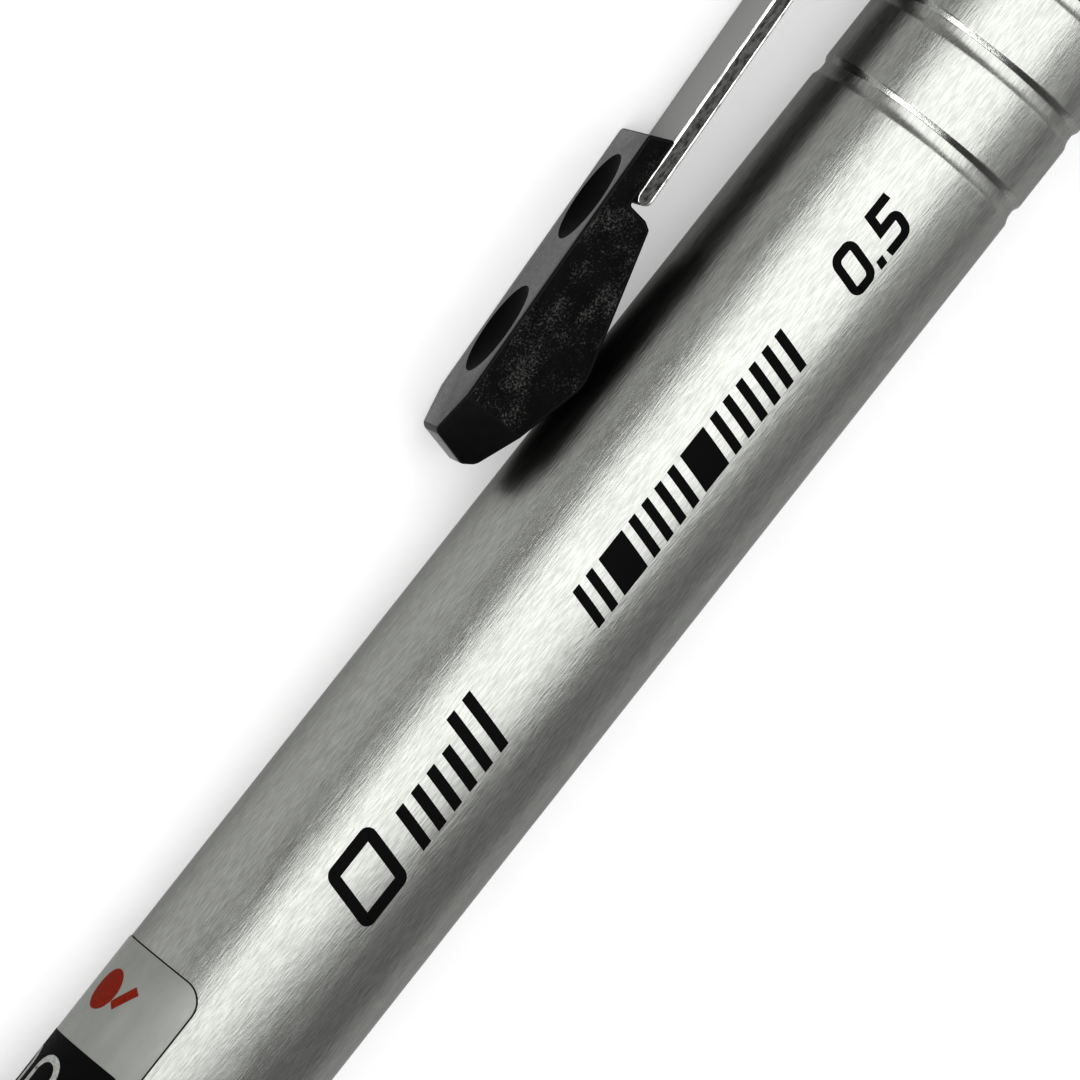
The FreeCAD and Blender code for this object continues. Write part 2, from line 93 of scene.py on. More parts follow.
STRAP_DATUM = (61.5, 8.40)  # x and height of a point on the strap's outer face
SHEET = 0.75                # thickness of the clip's sheet
BEND_R = 1.35               # outer radius of its bend
CLIP_WIDTH = 4.85
MAIN_SPRING = (-21.2, -10.5)
SLIDER_SPRING = (-36.6, -31.6)
INK = 0.012                 # thickness of the printed ink
INK_FOOT = -0.002           # how far the ink's underside sits in the steel
INK_ON_FILM = 0.004         # how far it sits in the label's film
STRIPE = 0.42               # width of a narrow printed stripe, and of the gaps
PRINT_LEAN = 0.26           # how far the printed marks lean, per millimetre of height
PRINT_FOOT = (CLIP_AZIMUTH - VIEW_AZIMUTH) * math.pi / 180 * BARREL_R + 2.18    # arc that they stand on
EDGE_ON = (0.55, 0.55, 0.55, 1)     # the steel's tint where it is seen edge-on

# ---- where the camera stands and what it looks at, in millimetres -------------------------
CAMERA_X = 28.7             # along the pencil; the lights are arranged round this point too
CAMERA_HEIGHT = 342.0       # from the pencil's axis
CAMERA_ASIDE = 1.936
CAMERA_AIM = Vector((45.7, 1.709, -0.909))
CAMERA_UP = (0.7854, 0.619)     # the picture's upward direction, along the pencil and across it
FOCAL_LENGTH = 280.9


# ---- mesh helpers -------------------------------------------------------------------------
def cut_corner(before, here, after, radius, steps):
    """Points of the arc that rounds one corner of a flat outline."""
    to_before = (before - here).normalized()
    to_after = (after - here).normalized()
    half_angle = to_before.angle(to_after) / 2
    reach = radius / math.tan(half_angle)
    middle = here + (to_before + to_after).normalized() * (radius / math.sin(half_angle))
    start = here + to_before * reach - middle
    end = here + to_after * reach - middle
    turn = start.angle_signed(end)
    points = []
    for step in range(steps + 1):
        angle = turn * step / steps
        cos, sin = math.cos(-angle), math.sin(-angle)
        rotated = Vector((start.x * cos - start.y * sin, start.x * sin + start.y * cos))
        points.append(middle + rotated)
    return points


def outline(corners, steps=5, support=0.0, closed=True):
    """Dense outline from corners (a, b) or (a, b, radius). support adds points beside each corner."""
    places = [Vector(corner[:2]) for corner in corners]
    points = []
    for index, corner in enumerate(corners):
        here = places[index]
        ends = index in (0, len(corners) - 1)
        before = places[index - 1]
        after = places[(index + 1) % len(places)]
        if len(corner) == 3 and (closed or not ends):
            arc = cut_corner(before, here, after, corner[2], steps)
        else:
            arc = [here]
        if support and (closed or index > 0):
            points.append(arc[0] + (before - arc[0]).normalized() * support)
        points += arc
        if support and (closed or index < len(corners) - 1):
            points.append(arc[-1] + (after - arc[-1]).normalized() * support)
    return points


def make_object(name, bm, materials, smooth_angle=35.0):
    """Mesh object from a bmesh in millimetres, smooth shaded except across sharp edges."""
    for vert in bm.verts:
        vert.co *= MM
    bmesh.ops.recalc_face_normals(bm, faces=bm.faces)
    limit = math.radians(smooth_angle)
    for face in bm.faces:
        face.smooth = True
    for edge in bm.edges:
        if len(edge.link_faces) == 2 and edge.calc_face_angle() > limit:
            edge.smooth = False
    mesh = bpy.data.meshes.new(name)
    bm.to_mesh(mesh)
    bm.free()
    for material in materials:
        mesh.materials.append(material)
    piece = bpy.data.objects.new(name, mesh)
    bpy.context.scene.collection.objects.link(piece)
    return piece


def lathe(bm, points, steps=AXIS_STEPS):
    """Revolve a closed outline of (x, radius) about the pencil's axis."""
    rings = []
    for x, radius in points:
        if radius < 1e-6:
            rings.append([bm.verts.new((x, 0, 0))])
            continue
        ring = []
        for step in range(steps):
            angle = 2 * math.pi * step / steps
            ring.append(bm.verts.new((x, radius * math.sin(angle), radius * math.cos(angle))))
        rings.append(ring)
    for index, ring in enumerate(rings):
        follow = rings[(index + 1) % len(rings)]
        if len(ring) == 1 and len(follow) == 1:
            continue
        for step in range(steps):
            corners = [ring[step % len(ring)], ring[(step + 1) % len(ring)]]
            corners += [follow[(step + 1) % len(follow)], follow[step % len(follow)]]
            unique = list(dict.fromkeys(corners))
            if len(unique) > 2:
                bm.faces.new(unique)


def turned(name, corners, material, steps=AXIS_STEPS, support=0.04):
    """Turned piece from its half outline of (x, radius) corners."""
    bm = bmesh.new()
    lathe(bm, outline(corners, support=support), steps)
    return make_object(name, bm, [material])


def place(piece, body, slot, *nodes):
    """Say which body a piece rides on and which CAD nodes it stands for; slot, its finish, is not used."""
    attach(piece, body)
    if nodes:
        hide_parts(*nodes)
    return piece


# ---- material helpers ---------------------------------------------------------------------
class Surface:
    """A Principled material with a few procedural inputs added step by step."""

    def __init__(self, name, color, metallic=0.0, roughness=0.5, **constants):
        self.material = bpy.data.materials.new(name)
        self.material.use_nodes = True
        self.tree = self.material.node_tree
        self.shader = self.tree.nodes["Principled BSDF"]
        self.shader.inputs["Base Color"].default_value = (*color, 1)
        self.shader.inputs["Metallic"].default_value = metallic
        self.shader.inputs["Roughness"].default_value = roughness
        for key, value in constants.items():
            self.shader.inputs[key.replace("_", " ")].default_value = value
        self.coordinates = self.tree.nodes.new("ShaderNodeTexCoord").outputs["Object"]
        self.normal = None

    def noise(self, size_mm, detail=2.0, rough=0.5):
        """Noise whose grain is size_mm = (x, y, z) millimetres long."""
        mapping = self.tree.nodes.new("ShaderNodeMapping")
        mapping.inputs["Scale"].default_value = [1.0 / (size * MM) for size in size_mm]
        self.tree.links.new(self.coordinates, mapping.inputs["Vector"])
        noise = self.tree.nodes.new("ShaderNodeTexNoise")
        noise.inputs["Scale"].default_value = 1.0
        noise.inputs["Detail"].default_value = detail
        noise.inputs["Roughness"].default_value = rough
        self.tree.links.new(mapping.outputs["Vector"], noise.inputs["Vector"])
        return noise.outputs["Fac"]

    def spread(self, source, low, high, start=0.3, end=0.7):
        """Map a texture from start..end to low..high."""
        node = self.tree.nodes.new("ShaderNodeMapRange")
        node.inputs["From Min"].default_value = start
        node.inputs["From Max"].default_value = end
        node.inputs["To Min"].default_value = low
        node.inputs["To Max"].default_value = high
        self.tree.links.new(source, node.inputs["Value"])
        return node.outputs["Result"]

    def product(self, first, second):
        """Two textures multiplied together."""
        node = self.tree.nodes.new("ShaderNodeMath")
        node.operation = "MULTIPLY"
        self.tree.links.new(first, node.inputs[0])
        self.tree.links.new(second, node.inputs[1])
        return node.outputs["Value"]

    def tint(self, source, dark, light, start=0.3, end=0.7):
        """Colour that runs from dark to light with a texture."""
        ramp = self.tree.nodes.new("ShaderNodeValToRGB")
        ramp.color_ramp.elements[0].position = start
        ramp.color_ramp.elements[1].position = end
        ramp.color_ramp.elements[0].color = (*dark, 1)
        ramp.color_ramp.elements[1].color = (*light, 1)
        self.tree.links.new(source, ramp.inputs["Fac"])
        self.tree.links.new(ramp.outputs["Color"], self.shader.inputs["Base Color"])

    def roughen(self, source, low, high, start=0.3, end=0.7):
        """Roughness that runs from low to high with a texture."""
        result = self.spread(source, low, high, start, end)
        self.tree.links.new(result, self.shader.inputs["Roughness"])

    def bump(self, source, depth_mm):
        """Bump of a real depth; calls stack on one another."""
        node = self.tree.nodes.new("ShaderNodeBump")
        node.inputs["Distance"].default_value = depth_mm * MM
        node.inputs["Strength"].default_value = 1.0
        self.tree.links.new(source, node.inputs["Height"])
        if self.normal is not None:
            self.tree.links.new(self.normal, node.inputs["Normal"])
        self.normal = node.outputs["Normal"]
        self.tree.links.new(self.normal, self.shader.inputs["Normal"])


def shades(value, low, high, tone=(1.0, 1.0, 0.985)):
    """A darker and a lighter shade of one grey, given a slight tone."""
    return [tuple(value * factor * part for part in tone) for factor in (low, high)]


def brushed_steel(name, value, depth=0.012, rough=(0.29, 0.37)):
    """Satin steel brushed along the pencil: short broken hairlines over longer soft waves."""
    surface = Surface(name, (value, value, value), 1.0, 0.32, Specular_Tint=EDGE_ON)
    hairs = surface.noise((0.65, 0.07, 0.07), 2.0, 0.6)
    waves = surface.noise((3.2, 0.55, 0.55), 2.0)
    dark, light = shades(value, 0.85, 1.11, (1.0, 1.015, 0.97))
    surface.tint(hairs, dark, light, 0.34, 0.66)
    surface.roughen(waves, *rough)
    surface.bump(waves, 0.006)
    surface.bump(hairs, depth)
    return surface.material


def turned_steel(name, value, rough):
    """Steel with fine lathe marks round the axis."""
    surface = Surface(name, (value, value, value), 1.0, 0.25, Specular_Tint=EDGE_ON)
    marks = surface.noise((0.12, 25.0, 25.0), 2.0)
    dark, light = shades(value, 0.95, 1.04)
    surface.tint(marks, dark, light)
    surface.roughen(surface.noise((1.2, 20.0, 20.0), 1.0), *rough)
    surface.bump(surface.noise((0.5, 40.0, 40.0), 0.0), 0.00015)
    return surface.material


def blasted_steel(name, value):
    """Matt outer face of the clip: fine even grain."""
    surface = Surface(name, (value, value, value), 1.0, 0.5)
    grain = surface.noise((0.08, 0.05, 0.05), 3.0)
    dark, light = shades(value, 0.9, 1.06)
    surface.tint(grain, dark, light)
    surface.roughen(grain, 0.42, 0.55)
    surface.bump(grain, 0.0015)
    return surface.material


def sheared_edge(name):
    """Edge of the clip's sheet as the press left it: mottled and dark."""
    surface = Surface(name, (0.2, 0.2, 0.2), 1.0, 0.45)
    blotch = surface.noise((0.35, 0.16, 0.16), 3.0, 0.6)
    surface.tint(blotch, (0.022, 0.022, 0.021), (0.12, 0.12, 0.117), 0.35, 0.75)
    surface.roughen(blotch, 0.4, 0.6)
    surface.bump(blotch, 0.02)
    return surface.material


def burnish_and_highlight_edge(name):
    """Burnished corner of the clip's sheet, made far brighter than the faces so that it draws the corners'
    highlight lines: partly real burnish, partly painted highlight.
    """
    surface = Surface(name, (0.9, 0.9, 0.89), 1.0, 0.35)
    wear = surface.noise((0.5, 0.2, 0.2), 2.0)
    surface.tint(wear, (0.45, 0.45, 0.44), (0.95, 0.95, 0.94), 0.38, 0.5)
    surface.roughen(wear, 0.32, 0.45)
    surface.bump(wear, 0.004)
    return surface.material


def moulded_plastic(name, color, grain_mm=0.11, depth=0.008, rough=(0.34, 0.46), sheen=0.12):
    """Smooth black moulding with a faint grain."""
    surface = Surface(name, color, 0.0, 0.5, Specular_IOR_Level=sheen)
    grain = surface.noise((grain_mm, grain_mm, grain_mm), 2.0, 0.6)
    clouds = surface.noise((1.6, 1.0, 1.0), 2.0)
    surface.tint(clouds, [part * 0.8 for part in color], [part * 1.3 for part in color])
    surface.roughen(grain, *rough)
    surface.bump(grain, depth)
    return surface.material


def eroded_plastic(name, color, fleck):
    """Side of the shoe: the same black plastic with the flecked texture of a spark-eroded mould."""
    surface = Surface(name, color, 0.0, 0.55, Specular_IOR_Level=0.06)
    fine = surface.noise((0.10, 0.09, 0.09), 3.0, 0.7)
    clouds = surface.spread(surface.noise((2.4, 1.5, 1.5), 3.0, 0.6), 0.70, 1.12, 0.35, 0.62)
    surface.tint(surface.product(fine, clouds), color, fleck, 0.50, 0.72)
    surface.roughen(surface.noise((0.8, 0.8, 0.8)), 0.45, 0.65)
    surface.bump(fine, 0.015)
    return surface.material


def rubber(name, color):
    """Matt black rubber."""
    surface = Surface(name, color, 0.0, 0.75, Specular_IOR_Level=0.3)
    grain = surface.noise((0.18, 0.18, 0.18), 3.0)
    surface.tint(grain, [part * 0.7 for part in color], [part * 1.4 for part in color])
    surface.roughen(grain, 0.65, 0.9)
    surface.bump(grain, 0.01)
    return surface.material


def brass(name):
    """Turned brass of the inner pieces."""
    surface = Surface(name, (0.72, 0.52, 0.24), 1.0, 0.28)
    marks = surface.noise((0.06, 2.0, 2.0), 2.0)
    surface.tint(marks, (0.62, 0.43, 0.18), (0.78, 0.58, 0.30))
    surface.roughen(surface.noise((1.0, 0.6, 0.6)), 0.2, 0.38)
    surface.bump(marks, 0.0008)
    return surface.material


def wire_steel(name):
    """Drawn wire and hard balls."""
    surface = Surface(name, (0.55, 0.55, 0.56), 1.0, 0.28)
    streaks = surface.noise((0.3, 0.3, 0.3), 2.0)
    surface.tint(streaks, (0.42, 0.42, 0.44), (0.62, 0.62, 0.62))
    surface.roughen(streaks, 0.2, 0.4)
    surface.bump(streaks, 0.001)
    return surface.material


def milky_tube(name):
    """Half-clear plastic of the lead tube."""
    surface = Surface(name, (0.72, 0.75, 0.76), 0.0, 0.3, Transmission_Weight=0.35)
    drawn = surface.noise((6.0, 0.3, 0.3), 2.0)
    surface.tint(drawn, (0.66, 0.70, 0.71), (0.78, 0.80, 0.81))
    surface.roughen(drawn, 0.22, 0.4)
    surface.bump(drawn, 0.003)
    return surface.material


def vinyl(name):
    """White eraser."""
    surface = Surface(name, (0.84, 0.84, 0.82), 0.0, 0.7)
    crumb = surface.noise((0.25, 0.25, 0.25), 3.0)
    surface.tint(crumb, (0.76, 0.76, 0.73), (0.88, 0.88, 0.86))
    surface.roughen(crumb, 0.6, 0.85)
    surface.bump(crumb, 0.01)
    return surface.material


def graphite(name):
    """Pencil lead."""
    surface = Surface(name, (0.07, 0.07, 0.075), 0.35, 0.4)
    grain = surface.noise((0.3, 0.05, 0.05), 2.0)
    surface.tint(grain, (0.045, 0.045, 0.05), (0.11, 0.11, 0.115))
    surface.roughen(grain, 0.3, 0.5)
    surface.bump(grain, 0.002)
    return surface.material


def label_film(name):
    """Clear-coated grey film: it hides the brushing, so it looks softer than the steel beside it."""
    surface = Surface(name, (0.2, 0.2, 0.2), 0.35, 0.5, Specular_IOR_Level=0.25)
    ripple = surface.noise((4.0, 1.6, 1.6), 2.0)
    surface.tint(ripple, (0.185, 0.19, 0.178), (0.225, 0.23, 0.218))
    surface.roughen(surface.noise((0.4, 0.12, 0.12)), 0.46, 0.58)
    surface.bump(ripple, 0.01)
    return surface.material


def ink(name, color, rough=(0.5, 0.7)):
    """Screen-printed ink: even colour with a slightly uneven surface."""
    surface = Surface(name, color, 0.0, 0.6, Specular_IOR_Level=0.05)
    speck = surface.noise((0.12, 0.12, 0.12), 2.0)
    surface.tint(speck, [part * 0.8 for part in color], [min(1, part * 1.25) for part in color])
    surface.roughen(speck, *rough)
    surface.bump(speck, 0.002)
    return surface.material


STEEL = brushed_steel("brushed_steel", 0.31)
ROLLED = brushed_steel("rolled_steel", 0.31, 0.006, (0.20, 0.26))
BAND_STEEL = turned_steel("turned_steel", 0.36, (0.27, 0.33))
BRIGHT = turned_steel("bright_turned_steel", 0.36, (0.25, 0.31))
CLIP_FACE = blasted_steel("clip_blasted_face", 0.25)
CLIP_EDGE = sheared_edge("clip_sheared_edge")
# bright metal for the sheet's corners: partly burnish, partly painted highlight lines
CLIP_CORNER_BURNISH_AND_HIGHLIGHT = burnish_and_highlight_edge("clip_corner_burnish_and_painted_highlight")
SHOE = moulded_plastic("shoe_black_plastic", (0.005, 0.0055, 0.005))
SHOE_FACE = moulded_plastic("shoe_polished_face", (0.006, 0.0065, 0.006), 0.2, 0.003, (0.26, 0.34), 0.30)
# the dimples get a darker, nearly unreflective black so that they read as shaded hollows: painted shade
SHOE_DIMPLE_PAINTED_SHADE = moulded_plastic("shoe_dimple_painted_shade", (0.003, 0.003, 0.003), 0.2, 0.003, (0.5, 0.6), 0.03)
SHOE_SIDE = eroded_plastic("shoe_eroded_plastic", (0.0035, 0.004, 0.0035), (0.058, 0.060, 0.057))
CORE = moulded_plastic("core_black_plastic", (0.015, 0.015, 0.015), 0.2, 0.004)
INNER = moulded_plastic("inner_grey_plastic", (0.08, 0.08, 0.085), 0.3, 0.004)
GRIP = rubber("grip_rubber", (0.018, 0.018, 0.018))
SMALL_RUBBER = rubber("retainer_rubber", (0.03, 0.03, 0.03))
BRASS = brass("turned_brass")
WIRE = wire_steel("spring_wire")
TUBE = milky_tube("lead_tube_plastic")
ERASER = vinyl("eraser_vinyl")
GRAPHITE = graphite("graphite")
FILM = label_film("label_film")
BLACK_INK = ink("black_ink", (0.005, 0.005, 0.005))
PALE_INK = ink("pale_ink", (0.24, 0.245, 0.235))
GLUE = ink("label_glue_edge", (0.02, 0.02, 0.019))
RED_INK = ink("red_ink", (0.14, 0.018, 0.009))


# ---- barrel -------------------------------------------------------------------------------
def ring_channel(centre, mouth_r):
    """Outline points of one rolled ring: a curved front slope, a flat floor and a steep rear wall."""
    profile = [(-0.70, 0.0), (-0.48, 0.0), (-0.42, 0.003), (-0.37, 0.014), (-0.33, 0.030), (-0.25, 0.064),
               (-0.16, 0.095), (-0.06, 0.116), (0.05, 0.125), (0.20, 0.128), (0.25, 0.126), (0.28, 0.119),
               (0.31, 0.107), (0.49, 0.016), (0.52, 0.006), (0.56, 0.001), (0.62, 0.0), (0.72, 0.0)]
    return [(centre + along, mouth_r - depth) for along, depth in profile]


def barrel():
    """The steel tube with its rolled rings, whose rear walls are burnished by the rolling."""
    inner_r = BARREL_R - BARREL_WALL
    lip = 0.06
    points = [(BARREL_FRONT, inner_r), (BARREL_FRONT, BARREL_R - lip)]
    points += [(BARREL_FRONT + lip / 3, BARREL_R - lip / 3), (BARREL_FRONT + lip, BARREL_R)]
    for number in range(RING_COUNT):
        points += ring_channel(RING_FIRST + number * RING_PITCH, BARREL_R)
    points += [(BARREL_END - lip, BARREL_R), (BARREL_END - lip / 3, BARREL_R - lip / 3)]
    points += [(BARREL_END, BARREL_R - lip), (BARREL_END, inner_r)]
    bm = bmesh.new()
    lathe(bm, points)
    for face in bm.faces:
        x = face.calc_center_median().x
        for number in range(RING_COUNT):
            if RING_WALL[0] < x - RING_FIRST - number * RING_PITCH < RING_WALL[1]:
                face.material_index = 1
    place(make_object("barrel_skin", bm, [STEEL, ROLLED]), "root", "barrel_steel", "barrel_tube")


# ---- pieces that lie on the barrel --------------------------------------------------------
def on_barrel(x, arc, height):
    """Point above the barrel's surface; arc is in millimetres from the clip's line, upwards."""
    azimuth = math.radians(CLIP_AZIMUTH) - arc / BARREL_R
    radius = BARREL_R + height
    return Vector((x, radius * math.sin(azimuth), radius * math.cos(azimuth)))


def add_patch(bm, grid, low, high, drop=0.0):
    """Thin closed sheet on the barrel from a grid of (x, arc) points, from height low to high.

    The outermost points of the top lie lower by drop, which rounds the sheet's edge.
    """
    rows, columns = len(grid), len(grid[0])

    def top_height(r, c):
        on_rim = r in (0, rows - 1) or c in (0, columns - 1)
        return high - drop if on_rim else high

    top = [[bm.verts.new(on_barrel(x, arc, top_height(r, c))) for c, (x, arc) in enumerate(row)]
           for r, row in enumerate(grid)]
    bottom = [[bm.verts.new(on_barrel(x, arc, low)) for x, arc in row] for row in grid]
    for r in range(rows - 1):
        for c in range(columns - 1):
            for layer in (top, bottom):
                bm.faces.new([layer[r][c], layer[r][c + 1], layer[r + 1][c + 1], layer[r + 1][c]])
    rim = [(r, 0) for r in range(rows)]
    rim += [(rows - 1, c) for c in range(1, columns)]
    rim += [(r, columns - 1) for r in range(rows - 2, -1, -1)]
    rim += [(0, c) for c in range(columns - 2, 0, -1)]
    for index, (r, c) in enumerate(rim):
        nr, nc = rim[(index + 1) % len(rim)]
        bm.faces.new([top[r][c], top[nr][nc], bottom[nr][nc], bottom[r][c]])


def rounded_sheet(x0, x1, arc0, arc1, corner):
    """Grid of a rectangle on the barrel with rounded corners and a narrow border for its edge."""
    steps, columns, edge = 96, 12, 0.06
    shares = [0.5 - 0.5 * math.cos(math.pi * row / steps) for row in range(steps + 1)]
    arcs = [arc0 + (arc1 - arc0) * share for share in shares]
    grid = []
    for arc in arcs:
        to_edge = min(arc - arc0, arc1 - arc)
        inset = 0.0
        if to_edge < corner:
            inset = corner - math.sqrt(max(0.0, corner ** 2 - (corner - to_edge) ** 2))
        left, right = x0 + inset, x1 - inset
        width = right - left - 2 * edge
        inner = [left + edge + width * column / columns for column in range(columns + 1)]
        grid.append([(x, arc) for x in [left] + inner + [right]])
    return grid


def stroke(points, width):
    """Grid of a printed line of even width along a path of (x, arc) points, with mitred bends."""
    step = 0.12
    path = [Vector(point) for point in points]
    sides = []
    for index, here in enumerate(path):
        along = []
        if index > 0:
            along.append((here - path[index - 1]).normalized())
        if index < len(path) - 1:
            along.append((path[index + 1] - here).normalized())
        direction = sum(along, Vector((0, 0))).normalized()
        across = Vector((-direction.y, direction.x))
        stretch = 1.0 / max(0.35, abs(direction.dot(along[0])))
        sides.append((here, across * (width / 2 * stretch)))
    grid = []
    for index in range(len(sides) - 1):
        (a, side_a), (b, side_b) = sides[index], sides[index + 1]
        pieces = max(1, math.ceil((b - a).length / step))
        for piece in range(pieces + (index == len(sides) - 2)):
            share = piece / pieces
            middle = a.lerp(b, share)
            side = side_a.lerp(side_b, share)
            grid.append([tuple(middle + side * k) for k in (-1, -1 / 3, 1 / 3, 1)])
    return grid


def block(x0, x1, arc0, arc1, lean):
    """Grid of a slanted bar: a parallelogram whose far edge leans by lean."""
    rows = 12
    grid = []
    for row in range(rows + 1):
        share = row / rows
        shift = lean * share
        arc = arc0 + (arc1 - arc0) * share
        grid.append([(x0 + shift, arc), ((x0 + x1) / 2 + shift, arc), (x1 + shift, arc)])
    return grid


def ring_path(x, arc, half_x, half_arc, steps=48):
    """Points round an ellipse, the first one repeated at the end."""
    points = []
    for step in range(steps + 1):
        angle = math.radians(360.0 * step / steps)
        points.append((x + half_x * math.cos(angle), arc + half_arc * math.sin(angle)))
    return points


def label():
    """The label: film, the line of glue round it, and what is printed on it."""
    arc_low = -math.radians(LABEL_BELOW) * BARREL_R
    arc_high = math.radians(LABEL_ABOVE) * BARREL_R
    film_top = span("barrel_label", 1)[1] - BARREL_R
    glue = 0.06                 # width of the glue line that shows round the film
    bm = bmesh.new()
    sheet = rounded_sheet(LABEL_FRONT + glue, LABEL_REAR - glue, arc_low + glue, arc_high - glue, 1.0)
    add_patch(bm, sheet, 0.001, film_top, drop=0.02)
    film = make_object("label_film_sheet", bm, [FILM])
    place(film, "root", "label_film", "barrel_label")
    bm = bmesh.new()
    add_patch(bm, rounded_sheet(LABEL_FRONT, LABEL_REAR, arc_low, arc_high, 1.04), -0.002, 0.004)
    place(make_object("label_glue_line", bm, [GLUE]), "root", "label_film")
    label_band(TOE - 27.95, arc_low, arc_high, film_top)
    label_spot((TOE - 25.4, 1.35), film_top)


def label_band(rear, arc_low, arc_high, film_top):
    """Black band that ends at x = rear, with a row of plain pill outlines round the barrel on it."""
    bm = bmesh.new()
    band = rounded_sheet(LABEL_FRONT + 0.8, rear, arc_low + 0.6, arc_high - 0.7, 0.3)
    add_patch(bm, band, film_top - INK_ON_FILM, film_top + INK)
    place(make_object("label_black_band", bm, [BLACK_INK]), "root", "label_film")

    half_height, end_r, line = 0.8, 0.75, 0.34
    pill_rear, pill_front = rear - 1.0, rear - 8.5
    bm = bmesh.new()
    for arc in (-3.4, -0.9, 1.6, 4.1):
        low, high = arc - half_height, arc + half_height
        pill = outline([(pill_rear, low, end_r), (pill_rear, high, end_r),
                        (pill_front, high, end_r), (pill_front, low, end_r)], 8)
        path = [tuple(point) for point in pill]
        add_patch(bm, stroke(path + path[:2], line), film_top + INK / 2, film_top + 2 * INK)
    place(make_object("label_pill_marks", bm, [PALE_INK]), "root", "label_film")


def label_spot(centre, film_top):
    """Red spot with a thin tail, between the band and the label's edge."""
    hole, half_x, half_arc, rings = 0.02, 0.95, 0.80, 6
    bm = bmesh.new()
    disc = []
    for ring in range(rings + 1):
        disc.append(ring_path(*centre, hole + half_x * ring / rings, hole + half_arc * ring / rings))
    add_patch(bm, disc, film_top - INK_ON_FILM, film_top + INK)
    tail = [(centre[0] - 0.4, centre[1] + 1.0), (centre[0] + 0.7, centre[1] + 1.7)]
    add_patch(bm, stroke(tail, 0.42), film_top - INK_ON_FILM, film_top + INK)
    place(make_object("label_red_spot", bm, [RED_INK]), "root", "label_film")


def print_line(bm, corners, steps, width, closed=True):
    """Printed line along an outline of corners, leaning like all the printed marks."""
    flat = outline(corners, steps, closed=closed)
    path = [(x + (PRINT_FOOT - arc) * PRINT_LEAN, arc) for x, arc in flat]
    if closed:
        path += path[:2]
    add_patch(bm, stroke(path, width), INK_FOOT, INK)


def print_bars(bm, x, widths, gap, height):
    """Row of leaning bars that starts at x."""
    for width in widths:
        bar = block(x, x + width, PRINT_FOOT, PRINT_FOOT - height, height * PRINT_LEAN)
        add_patch(bm, bar, INK_FOOT, INK)
        x += width + gap


def long_stripes():
    """The longer row of printed stripes, beside the clip's shoe."""
    narrow = (STRIPE,) * 4
    wide = 1.5
    bm = bmesh.new()
    x = TOE - 1.85
    for group in ((STRIPE, STRIPE, wide), narrow, (wide, STRIPE, STRIPE), narrow):
        print_bars(bm, x, group, STRIPE, 1.8)
        x += sum(group) + STRIPE * len(group)
    place(make_object("print_long_stripes", bm, [BLACK_INK]), "root", "barrel_steel")


def short_stripes():
    """The shorter row of stripes, with an outlined box before it."""
    x, side, corner_r, bar = TOE - 16.85, 2.3, 0.2, 0.5
    box = [(x, PRINT_FOOT, corner_r), (x, PRINT_FOOT - side, corner_r),
           (x + side, PRINT_FOOT - side, corner_r), (x + side, PRINT_FOOT, corner_r)]
    bm = bmesh.new()
    print_line(bm, box, 5, bar)
    print_bars(bm, TOE - 13.2, (bar,) * 4, bar, 1.9)
    print_bars(bm, TOE - 9.2, (bar,) * 2, bar, 2.6)
    place(make_object("print_short_stripes", bm, [BLACK_INK]), "root", "barrel_steel")


def lead_size():
    """The lead size 0.5: a plain 0, a point and a plain 5."""
    x, line = TOE + 14.9, 0.36
    low, high = PRINT_FOOT - 0.18, PRINT_FOOT - 1.75
    bm = bmesh.new()
    left, right, corner_r = x + 0.18, x + 1.22, 0.3
    zero = [(left, low, corner_r), (left, high, corner_r), (right, high, corner_r), (right, low, corner_r)]
    print_line(bm, zero, 6, line)
    add_patch(bm, block(x + 1.62, x + 2.0, PRINT_FOOT, PRINT_FOOT - 0.38, 0.1), INK_FOOT, INK)
    left, right, waist = x + 2.5, x + 3.5, high + 0.72
    five = [(x + 3.62, high), (left, high), (left, waist), (right, waist, 0.25),
            (right, low, corner_r), (x + 2.3, low)]
    print_line(bm, five, 6, line, closed=False)
    place(make_object("print_lead_size", bm, [BLACK_INK]), "root", "barrel_steel")


# ---- clip ---------------------------------------------------------------------------------
def clip_point(x, across, height):
    """Point given by x, distance across the strap and height from the axis along the clip."""
    azimuth = math.radians(CLIP_AZIMUTH)
    out = Vector((0, math.sin(azimuth), math.cos(azimuth)))
    side = Vector((0, math.cos(azimuth), -math.sin(azimuth)))
    return Vector((x, 0, 0)) + out * height + side * across


def strap_height(x):
    """Height of the strap's middle layer above the axis."""
    outer = STRAP_DATUM[1] + (x - STRAP_DATUM[0]) * math.tan(STRAP_SLOPE)
    return outer - SHEET / 2 / math.cos(STRAP_SLOPE)


def clip_sections():
    """Middle points of the clip's sheet from tab to strap end, each with its share of the thickness."""
    tab_x = BARREL_END + SHEET / 2
    tab_low = 4.22
    bend_r = BEND_R - SHEET / 2
    nose = 0.4
    nose_x = TOE + SHOE_HEEL + 0.3 + nose
    path = outline([(tab_x, tab_low), (tab_x, strap_height(tab_x), bend_r),
                    (nose_x, strap_height(nose_x))], 14, closed=False)
    dense = [path[0], path[0].lerp(path[1], 0.5)] + path[1:-1]
    last = path[-1]
    strap_steps, nose_steps = 24, 6
    for step in range(1, strap_steps + 1):
        dense.append(path[-2].lerp(last, step / strap_steps))
    sections = [(point, 1.0) for point in dense]
    # the strap's end thins down over a short nose, like a sheared and tumbled edge
    for step in range(1, nose_steps + 1):
        angle = math.pi / 2 * step / nose_steps
        x = last.x - nose * math.sin(angle)
        sections.append((Vector((x, strap_height(x))), max(0.08, math.cos(angle))))
    return sections


